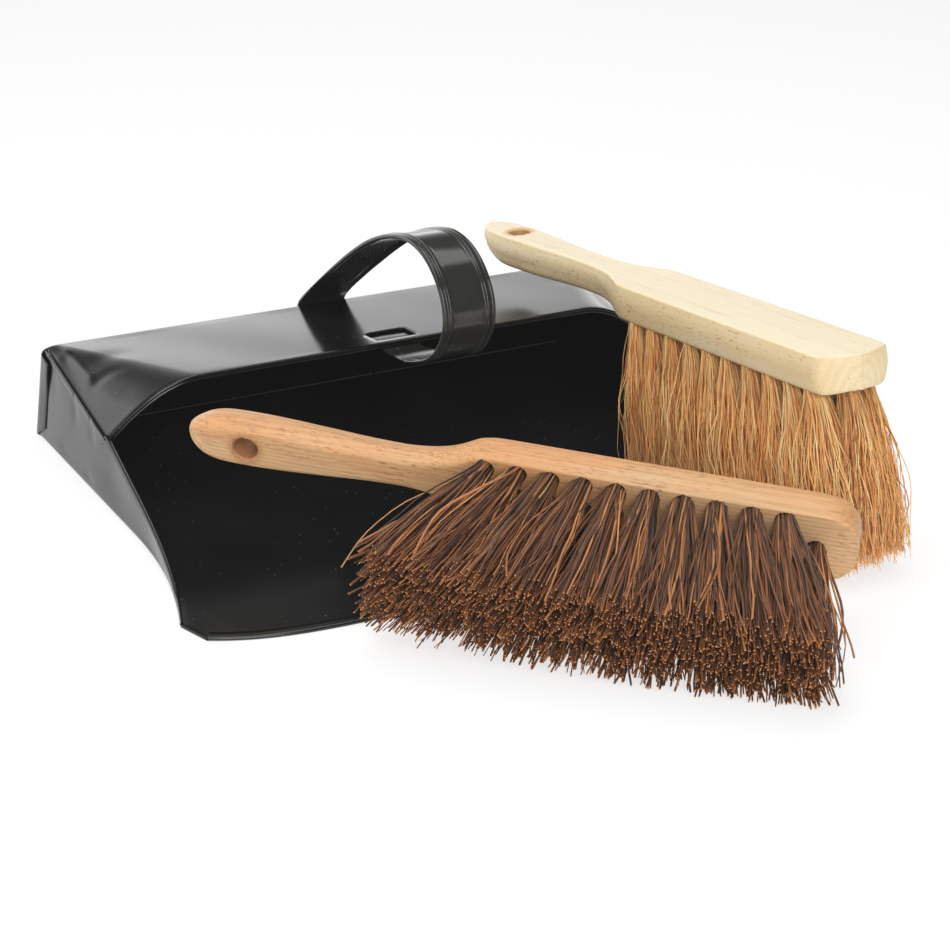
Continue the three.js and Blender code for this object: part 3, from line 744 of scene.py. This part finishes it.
def bassine_section(u):
    """The same for the bassine brush, whose edges are softer."""
    waist = float(smooth(60, 95, u) * (1 - smooth(105, 130, u)))
    nose = 1 - math.sqrt(1 - max(0, 1 - u / NOSE_LENGTH) ** 2.4)
    end = float(smooth(276, 291, u))
    block = float(smooth(112, 140, u))
    low = 1.0 * waist + 8.2 * nose + 0.8 * end ** 2
    high = BLOCK_THICK - 0.6 * waist - 8.2 * nose - 2.0 * end ** 2
    return low, high, mix(2.6, 1.7, block), mix(6.5, 4.5, block), mix(1.4, 0.5, block)


# ---------- bristles ----------
def world_turn(brush):
    return np.array(brush_place(brush).to_3x3()), np.array(brush["at"], float)


def rest_on_surfaces(lines, brush, clearance):
    """Bends strands up where they would pass through the floor or the pan's base."""
    turn, at = world_turn(brush)
    world = lines @ turn.T + at
    x, y, z = world[..., 0], world[..., 1], world[..., 2]
    in_pan = (np.abs(x) < edge_half(y) + 1) & (y > lip_y(x) - 1.5)
    ground = clearance + np.where(in_pan, 1.9, 0.15)
    over = z - ground
    soft = 1.5
    lifted = np.where(over < soft, soft * np.exp(np.minimum(over, soft) / soft - 1), over)
    world[..., 2] = ground + np.where(over < soft, lifted, over)
    return (world - at) @ turn


def scatter(rng, size, *shape):
    """Normal scatter of the size given, without its far tails."""
    return size * np.clip(rng.normal(size=shape), -2, 2)


def tuft_lines(tuft, look, rng):
    """Centre lines of one tuft's strands, in the brush's frame."""
    count, stations = look["count"], look["stations"]
    angle = rng.uniform(0, 2 * math.pi, count)
    reach = np.sqrt(rng.uniform(0, 1, count))
    disc = np.stack([reach * np.cos(angle), reach * np.sin(angle)], -1)
    root = np.array(tuft["root"]) + disc * (TUFT_RADIUS + 0.05)
    tip = np.array(tuft["tip"]) + disc * np.array(tuft["half"]) * look["mingle"]
    tip = tip + scatter(rng, look["stray"], count, 2)
    wild = rng.random(count) < look["wild"]
    tip = tip + wild[:, None] * scatter(rng, look["wild_reach"], count, 2)
    length = BRISTLE * (1 - look["ragged"] * rng.random(count) ** 1.6) + scatter(rng, look["uneven"], count)
    sideways = np.sum((tip - root) ** 2, axis=1)
    length = np.sqrt(length ** 2 - look["swing"] * np.minimum(sideways, 0.4 * BRISTLE ** 2))
    part = np.linspace(0, 1, stations)
    spread = part ** look["splay"]
    across = root[:, None, :] + (tip - root)[:, None, :] * spread[None, :, None]
    bow = scatter(rng, look["bow"], count, 2) * (1 + 0.9 * wild[:, None])
    across = across + bow[:, None, :] * (np.sin(math.pi * part) * part ** 0.5)[None, :, None]
    for waves in (1.3, 2.7):
        phase = rng.uniform(0, 2 * math.pi, (count, 2))
        size = scatter(rng, look["wave"] / waves, count, 2)
        turn = 2 * math.pi * waves * part[None, :, None] + phase[:, None, :]
        across = across + size[:, None, :] * np.sin(turn) * smooth(0.03, 0.45, part)[None, :, None]
    start = 2.5
    w = start - (length[:, None] + start) * part[None, :]
    return np.dstack([across, w])


def strand_piece(name, lines, look, material, place, rng):
    """Builds every strand of a bundle as a closed, slightly flat bar with a cut end."""
    count, stations, _ = lines.shape
    sides = look["sides"]
    tangent = np.gradient(lines, axis=1)
    tangent /= np.linalg.norm(tangent, axis=2)[..., None]
    along = np.linspace(0, 1, stations)
    spin = rng.normal(size=(count, 1, 3)) + rng.normal(size=(count, 1, 3)) * 0.5 * along[:, None]
    side = np.cross(tangent, spin)
    side /= np.linalg.norm(side, axis=2)[..., None]
    up = np.cross(tangent, side)
    width = look["width"] * rng.uniform(0.55, 1.3, count)[:, None] * look["taper"](along)
    knots = 1 + look["lumps"] * rng.normal(size=(count, stations))
    angles = circle(sides)
    wide = (width * knots / 2)[..., None] * np.cos(angles)
    flat = (width * knots / 2 * look["flat"])[..., None] * np.sin(angles)
    rings = lines[:, :, None] + wide[..., None] * side[:, :, None] + flat[..., None] * up[:, :, None]
    body = rings.reshape(-1, 3)
    tips = rings[:, -1].reshape(-1, 3)
    quads = grid_quads(stations, sides, ring=True)
    quads = (quads[None] + (np.arange(count) * stations * sides)[:, None, None]).reshape(-1, 4)
    tip_caps = len(body) + np.arange(count * sides).reshape(count, sides)
    root_caps = (np.arange(count) * stations * sides)[:, None] + np.arange(sides)[::-1]
    mesh = make_mesh(name, np.vstack([body, tips]), [quads, tip_caps, root_caps])
    tone = rng.random(count)
    values = {
        "tone": np.concatenate([np.repeat(tone, stations * sides), np.repeat(tone, sides)]),
        "along": np.concatenate([np.tile(np.repeat(along, sides), count), np.ones(count * sides)]),
        "cut": np.concatenate([np.zeros(len(body)), np.ones(len(tips))]),
    }
    for key, value in values.items():
        mesh.attributes.new(key, "FLOAT", "POINT").data.foreach_set("value", value.astype(np.float32))
    strand_uvs(mesh, count, stations, sides)
    piece = make_piece(name, mesh, material, place)
    mesh.polygons.foreach_set("use_smooth", [True] * len(mesh.polygons))
    return piece


def strand_uvs(mesh, count, stations, sides):
    """Gives each strand its own upright cell of the bake layout, with its cut end at the top."""
    columns = math.ceil(math.sqrt(count * 6))
    rows = math.ceil(count / columns)
    cell_x = (np.arange(count) % columns) / columns
    cell_y = (np.arange(count) // columns) / rows
    wide, high = 0.86 / columns, 0.94 / rows
    i, j = np.meshgrid(np.arange(stations - 1), np.arange(sides), indexing="ij")
    corner_j = np.stack([j, j + 1, j + 1, j], -1) / sides
    corner_i = np.stack([i, i, i + 1, i + 1], -1) / (stations - 1) * 0.88
    body = np.stack([
        cell_x[:, None, None, None] + corner_j[None] * wide,
        cell_y[:, None, None, None] + corner_i[None] * high], -1).reshape(-1, 2)
    angles = circle(sides)
    disc = np.stack([0.5 + 0.4 * np.cos(angles), 0.95 + 0.04 * np.sin(angles)], -1)
    tips = np.stack([cell_x[:, None] + disc[:, 0] * wide, cell_y[:, None] + disc[:, 1] * high], -1)
    roots = np.stack([cell_x[:, None] + disc[:, 0] * wide, cell_y[:, None] + 0 * disc[:, 1]], -1)
    layer = mesh.uv_layers.new(name="OFBake")
    uvs = np.concatenate([body.ravel(), tips.ravel(), roots.ravel()])
    layer.data.foreach_set("uv", uvs.astype(np.float32))


BASSINE_LOOK = {
    "count": 112, "stations": 12, "sides": 6, "width": 1.08, "flat": 0.6, "lumps": 0.05, "mingle": 1.1,
    "swing": 0.9, "stray": 1.7, "wild": 0.2, "wild_reach": 5.0, "ragged": 0.09, "uneven": 0.8, "splay": 1.1,
    "bow": 2.5, "wave": 0.55, "taper": lambda part: 1 - 0.18 * part,
}
COCO_LOOK = {
    "count": 440, "stations": 13, "sides": 3, "width": 0.56, "flat": 0.85, "lumps": 0.07, "mingle": 1.2,
    "swing": 0.3, "stray": 2.4, "wild": 0.1, "wild_reach": 3.5, "ragged": 0.05, "uneven": 1.3, "splay": 0.62,
    "bow": 2.6, "wave": 1.8, "taper": lambda part: 1 - 0.35 * part ** 2,
}


def make_bristles(prefix, brush, look, material, body, slot, node_of):
    """One piece for each tuft."""
    place = brush_place(brush)
    for k, tuft in enumerate(tuft_plan(brush)):
        rng = np.random.default_rng([len(prefix), k])
        lines = tuft_lines(tuft, look, rng)
        lines = rest_on_surfaces(lines, brush, look["width"] / 2)
        piece = strand_piece(f"{prefix}_{tuft['name']}", lines, look, material, place, rng)
        settle(piece, body, slot, node_of(tuft))


# ---------- materials ----------
def colour(red, green, blue):
    """A display colour, 0 to 255 each, as the linear values that a shader takes."""
    def linear(value):
        value /= 255
        return value / 12.92 if value < 0.04045 else ((value + 0.055) / 1.055) ** 2.4
    return (linear(red), linear(green), linear(blue), 1)


def new_material(name):
    material = bpy.data.materials.new(name)
    material.use_nodes = True
    return material, material.node_tree, material.node_tree.nodes["Principled BSDF"]


def fill(tree, node, values):
    """Gives a node's inputs their values, or links them where a value is another node's output."""
    for key, value in values.items():
        if isinstance(value, bpy.types.NodeSocket):
            tree.links.new(value, node.inputs[key])
        else:
            node.inputs[key].default_value = value


def add(tree, kind, values=None, **settings):
    """A shader node with its settings and inputs; an input can be another node's output."""
    node = tree.nodes.new("ShaderNode" + kind)
    for key, value in settings.items():
        setattr(node, key, value)
    fill(tree, node, values or {})
    return node


def ramp(tree, factor, stops):
    """A colour ramp's output; a stop is a place and a colour or a grey level."""
    node = add(tree, "ValToRGB", {"Fac": factor})
    elements = node.color_ramp.elements
    while len(elements) < len(stops):
        elements.new(0.5)
    for element, (place, value) in zip(elements, stops):
        element.position = place
        element.color = value if isinstance(value, tuple) else (value, value, value, 1)
    return node.outputs["Color"]


def blend_colour(tree, factor, a, b, kind="MIX"):
    node = add(tree, "Mix", data_type="RGBA", blend_type=kind)
    fill(tree, node, {0: factor, 6: a, 7: b})
    return node.outputs[2]


def multiply(tree, a, b):
    return blend_colour(tree, 1.0, a, b, "MULTIPLY")


def stretched(tree, scale, turn=(0, 0, 0)):
    """The object's own coordinates in metres, scaled along each axis."""
    coordinates = add(tree, "TexCoord").outputs["Object"]
    return add(tree, "Mapping", {"Vector": coordinates, "Rotation": turn, "Scale": scale}).outputs["Vector"]


def noise(tree, vector, scale, detail=3, rough=0.5, distortion=0):
    return add(tree, "TexNoise", {
        "Vector": vector, "Scale": scale, "Detail": detail, "Roughness": rough,
        "Distortion": distortion}).outputs["Fac"]


def specks(tree, vector, per_metre, size, share):
    """White dots: one in some cells of a grid, of a size given as a part of the cell."""
    cells = add(tree, "TexVoronoi", {"Vector": vector, "Scale": per_metre})
    dot = ramp(tree, cells.outputs["Distance"], [(size * 0.5, 1.0), (size, 0.0)])
    chance = add(tree, "SeparateColor", {"Color": cells.outputs["Color"]})
    picked = ramp(tree, chance.outputs["Red"], [(1 - share, 0.0), (1 - share + 0.01, 1.0)])
    return multiply(tree, dot, picked), chance.outputs["Green"]


def black_paint(name, scuffed, lightness):
    material, tree, shader = new_material(name)
    vector = stretched(tree, (1, 1, 1))
    dust, which = specks(tree, vector, 300, 0.085, 0.32)
    dust_colour = ramp(tree, which, [(0.35, colour(170, 148, 118)), (0.55, colour(120, 138, 140))])
    cloud = noise(tree, vector, 22, 4, 0.6)
    base = ramp(tree, cloud, [(0.3, tuple(0.75 * part for part in lightness) + (1,)),
                              (0.7, tuple(1.2 * part for part in lightness) + (1,))])
    base = blend_colour(tree, dust, base, dust_colour)
    smear = noise(tree, stretched(tree, (30, 9, 30), (0, 0, 0.4)), 1.0, 5, 0.6)
    rough = ramp(tree, smear, [(0.3, 0.115), (0.75, 0.2)])
    if scuffed:
        scratch = noise(tree, stretched(tree, (900, 90, 90), (0.5, 0.2, 0)), 1.0, 2, 0.6)
        patch = noise(tree, vector, 60, 2, 0.5)
        marks = ramp(tree, scratch, [(0.68, 0.0), (0.74, 1.0)])
        marks = multiply(tree, marks, ramp(tree, patch, [(0.52, 0.0), (0.66, 1.0)]))
        base = blend_colour(tree, marks, base, colour(96, 94, 90))
        rough = blend_colour(tree, marks, rough, (0.5, 0.5, 0.5, 1))
    rough = blend_colour(tree, dust, rough, (0.6, 0.6, 0.6, 1))
    peel = noise(tree, vector, 420, 2, 0.5)
    bump = add(tree, "Bump", {"Height": peel, "Strength": 0.12, "Distance": 0.00012})
    fill(tree, shader, {"Base Color": base, "Roughness": rough, "Normal": bump.outputs["Normal"]})
    return material


def torn_mouth(tree):
    """Where the wood is torn, round the mouths of the hanging hole."""
    flat = stretched(tree, (1, 1, 0))
    away = add(tree, "VectorMath", {0: flat, 1: (HOLE_AT * MM, 0, 0)}, operation="DISTANCE").outputs["Value"]
    ragged = noise(tree, stretched(tree, (1, 1, 1)), 700, 2, 0.6)
    reach = add(tree, "Math", {0: ragged, 1: 0.005, 2: away}, operation="MULTIPLY_ADD").outputs["Value"]
    mouth = (HOLE_RADIUS + 3.2) * MM
    return ramp(tree, reach, [(mouth, 0.85), (mouth + 0.0006, 0.0)])


def wood(name, look):
    """Straight-grained wood: soft growth bands, fine streaks, short pores, warm patches and a painted
    highlight on faces that look up.
    """
    material, tree, shader = new_material(name)
    bend = noise(tree, stretched(tree, (9, 30, 30)), 1.0, 2, 0.5)
    bands = add(tree, "TexWave", {
        "Vector": stretched(tree, look["band_scale"], look["band_turn"]), "Scale": 1.0,
        "Distortion": look["band_bend"], "Detail": 2.0, "Detail Scale": 1.2,
    }, wave_type="RINGS", rings_direction="X").outputs["Fac"]
    base = ramp(tree, bands, [(0.1, look["light"]), (0.6, look["middle"]), (1.0, look["dark"])])
    base = blend_colour(tree, ramp(tree, bend, [(0.42, 0.0), (0.68, 0.75)]), base, look["warm"])
    # Painted highlight: faces that look up are blended toward the look's top colour, paler, as if lit from
    # above.
    upward = add(tree, "SeparateXYZ", {"Vector": add(tree, "TexCoord").outputs["Normal"]}).outputs["Z"]
    base = blend_colour(tree, ramp(tree, upward, [(0.6, 0.0), (0.95, 0.6)]), base, look["top"])
    streak = noise(tree, stretched(tree, look["streak_scale"]), 1.0, 4, 0.65)
    streaks = ramp(tree, streak, [(0.52, 0.0), (0.74, look["streak_depth"])])
    base = blend_colour(tree, streaks, base, look["streak"])
    pore = noise(tree, stretched(tree, look["pore_scale"]), 1.0, 1, 0.4)
    where = noise(tree, stretched(tree, (14, 60, 60)), 1.0, 2, 0.5)
    pores = multiply(tree, ramp(tree, pore, [(0.62, 0.0), (0.7, 1.0)]),
                     ramp(tree, where, [(0.4, 0.0), (0.58, look["pore_depth"])]))
    # Painted highlight: on faces that look up the pores fade, washed out as if by light.
    pores = multiply(tree, pores, ramp(tree, upward, [(0.5, 1.0), (0.9, look["pore_share_under_highlight"])]))
    base = blend_colour(tree, pores, base, look["pore"])
    base = blend_colour(tree, torn_mouth(tree), base, look["torn"])
    rough = ramp(tree, streak, [(0.3, look["gloss"]), (0.8, look["gloss"] + 0.14)])
    groove = blend_colour(tree, 0.5, streaks, pores)
    bump = add(tree, "Bump", {"Height": groove, "Strength": 0.25, "Distance": 0.0002}, invert=True)
    fill(tree, shader, {"Base Color": base, "Roughness": rough, "Specular IOR Level": 0.4,
                        "Normal": bump.outputs["Normal"]})
    return material


PALE_WOOD = {
    "light": colour(235, 219, 182), "middle": colour(232, 214, 172), "dark": colour(230, 210, 167),
    # top is the painted highlight colour for faces that look up, where the pores are also faded.
    "top": colour(246, 237, 214), "warm": colour(228, 202, 152), "streak": colour(210, 178, 130),
    "streak_depth": 0.4, "streak_scale": (22, 620, 620),
    "pore": colour(198, 132, 78), "pore_depth": 0.75, "pore_scale": (300, 1300, 1300), "pore_share_under_highlight": 0.12,
    "torn": colour(206, 150, 92), "gloss": 0.4,
    "band_scale": (3, 90, 60), "band_turn": (0.1, 0.02, 0), "band_bend": 3.2,
}
TAN_WOOD = {
    "light": colour(214, 176, 131), "middle": colour(211, 171, 125), "dark": colour(203, 160, 114),
    # top is the painted highlight colour for faces that look up.
    "top": colour(215, 175, 132), "warm": colour(216, 154, 98), "streak": colour(160, 110, 74),
    "streak_depth": 0.7, "streak_scale": (26, 900, 900),
    "pore": colour(140, 88, 56), "pore_depth": 0.7, "pore_scale": (200, 1700, 1700), "pore_share_under_highlight": 1.0,
    "torn": colour(168, 112, 66), "gloss": 0.42,
    "band_scale": (2.5, 150, 150), "band_turn": (0.3, 0.03, 0), "band_bend": 2.0,
}


def fibre(name, tones, tip, cut, rough, fleck, root_shade):
    """Plant fibre: each strand has its own tone, with streaks along it and a paler cut end."""
    material, tree, shader = new_material(name)
    tone = add(tree, "Attribute", attribute_name="tone").outputs["Fac"]
    along = add(tree, "Attribute", attribute_name="along").outputs["Fac"]
    is_cut = add(tree, "Attribute", attribute_name="cut").outputs["Fac"]
    base = ramp(tree, tone, tones)
    streak = noise(tree, stretched(tree, (900, 900, 90)), 1.0, 3, 0.6)
    base = blend_colour(tree, ramp(tree, streak, [(0.42, 0.0), (0.7, 0.28)]), base, fleck)
    base = blend_colour(tree, ramp(tree, along, [(0.55, 0.0), (1.0, 0.4)]), base, tip)
    shaded = ramp(tree, along, [(0.02, root_shade), (0.3, 0.0)])
    base = blend_colour(tree, shaded, base, (0.01, 0.007, 0.005, 1))
    cut_share = add(tree, "Math", {0: is_cut, 1: 0.8}, operation="MULTIPLY").outputs["Value"]
    base = blend_colour(tree, cut_share, base, cut)
    gloss = ramp(tree, streak, [(0.3, rough), (0.8, rough + 0.2)])
    fill(tree, shader, {"Base Color": base, "Roughness": gloss, "Specular IOR Level": 0.45})
    return material


BASSINE_TONES = [
    (0.0, colour(40, 32, 28)), (0.3, colour(104, 68, 46)), (0.5, colour(148, 92, 54)),
    (0.72, colour(84, 66, 56)), (0.88, colour(192, 124, 70)), (1.0, colour(222, 158, 98)),
]
COCO_TONES = [
    (0.0, colour(162, 98, 50)), (0.2, colour(238, 162, 92)), (0.6, colour(255, 200, 124)),
    (1.0, colour(255, 232, 170)),
]


# ---------- stage ----------
GLOW_FALL = (0.45, 0, 1)  # the glow fades to the right and upward
GLOW_STRENGTH = 2.2
ROOM_LIGHT = (0.03, 0.03, 0.03, 1)
FLOOR_GLOW = 0.7
FLOOR_REACH = 9000.0
BLACK_LIFT = 0.007  # veiling glare: how far the view lifts pure black


def make_floor():
    corners = [(x * FLOOR_REACH, y * FLOOR_REACH, 0) for x, y in ((-1, -1), (1, -1), (1, 1), (-1, 1))]
    material, tree, shader = new_material("pale_floor")
    fill(tree, shader, {"Base Color": (0.32, 0.32, 0.32, 1), "Roughness": 0.9, "Specular IOR Level": 0.1,
                        "Emission Color": (1, 1, 1, 1), "Emission Strength": FLOOR_GLOW})
    mesh_piece("floor", corners, [[(0, 1, 2, 3)]], material)


def soft_light(name, at, size, radiance):
    """A rectangular soft box facing the origin, whose face has the radiance given."""
    data = bpy.data.lights.new(name, "AREA")
    data.shape = "RECTANGLE"
    data.size, data.size_y = size
    data.energy = radiance * math.pi * size[0] * size[1]
    light = bpy.data.objects.new(name, data)
    light.location = at
    light.rotation_euler = (-Vector(at)).to_track_quat("-Z", "Y").to_euler()
    light.visible_camera = False
    bpy.context.scene.collection.objects.link(light)


def make_world():
    """A dim room whose horizon glows behind the pan, and higher up to its left."""
    world = bpy.data.worlds.new("studio")
    world.use_nodes = True
    tree = world.node_tree
    direction = add(tree, "TexCoord").outputs["Generated"]
    fall = add(tree, "VectorMath", {0: direction, 1: GLOW_FALL}, operation="DOT_PRODUCT").outputs["Value"]
    behind = add(tree, "SeparateXYZ", {"Vector": direction}).outputs["Y"]
    glow = ramp(tree, fall, [(0.31, 0.95), (0.36, 0.66), (0.44, 0.37), (0.62, 0.0)])
    glow = multiply(tree, glow, ramp(tree, behind, [(0.4, 0.0), (0.75, 1.0)]))
    room = blend_colour(tree, 1.0, glow, ROOM_LIGHT, "ADD")
    background = tree.nodes["Background"]
    fill(tree, background, {"Color": room, "Strength": GLOW_STRENGTH})
    bpy.context.scene.world = world


def make_lights():
    make_world()
    soft_light("key", (-0.5, -1.55, 1.2), (1.0, 1.0), 5.8)
    soft_light("overhead", (-0.1, 0.2, 1.8), (2.6, 1.4), 2.4)
    soft_light("front_fill", (-0.9, -2.2, 0.5), (1.6, 0.7), 3.6)
    soft_light("left_fill", (-2.4, -0.2, 0.9), (1.4, 1.2), 1.2)


def make_camera():
    azimuth, elevation, roll = (math.radians(a) for a in (CAMERA_AZIMUTH, CAMERA_ELEVATION, CAMERA_ROLL))
    back = Vector((math.sin(azimuth) * math.cos(elevation), -math.cos(azimuth) * math.cos(elevation),
                   math.sin(elevation)))
    right = Vector((0, 0, 1)).cross(back).normalized()
    up = back.cross(right)
    tilted_right = right * math.cos(roll) + up * math.sin(roll)
    tilted_up = up * math.cos(roll) - right * math.sin(roll)
    data = bpy.data.cameras.new("camera")
    data.lens = CAMERA_LENS
    data.sensor_width = 36
    camera = bpy.data.objects.new("camera", data)
    camera.matrix_world = (Matrix.Translation(Vector(CAMERA_AT))
                           @ Matrix((tilted_right, tilted_up, back)).transposed().to_4x4())
    bpy.context.scene.collection.objects.link(camera)
    bpy.context.scene.camera = camera


make_camera()
make_lights()
make_floor()
view = bpy.context.scene.view_settings
view.view_transform = "Standard"
view.use_curve_mapping = True
view.curve_mapping.black_level = (-BLACK_LIFT,) * 3
view.curve_mapping.update()

sheet_paint = black_paint("black_sheet_paint", False, (0.007, 0.0077, 0.0075))
make_tray(sheet_paint)
make_hood(sheet_paint)
make_strap(black_paint("black_strap_paint", True, (0.028, 0.028, 0.026)))

make_block("coco_block", COCO, wood("pale_wood", PALE_WOOD), "coco_brush", "pale_wood", coco_section)
make_block("bassine_block", BASSINE, wood("tan_wood", TAN_WOOD), "bassine_brush", "tan_wood", bassine_section)

coco_fibre = fibre(
    "coco_fibre", COCO_TONES, colour(246, 186, 124), colour(250, 206, 150), 0.6, colour(206, 136, 82), 0.2)
bassine_fibre = fibre(
    "bassine_fibre", BASSINE_TONES, colour(112, 68, 40), colour(204, 132, 70), 0.5, colour(64, 45, 34), 0.42)
make_bristles("coco_tuft", COCO, COCO_LOOK, coco_fibre, "coco_brush", "coco_fibre",
              lambda tuft: f"coco_tuft_row_{tuft['row']}")
make_bristles("bassine_strands", BASSINE, BASSINE_LOOK, bassine_fibre, "bassine_brush", "bassine_fibre",
              lambda tuft: f"bassine_tuft_{tuft['name']}")
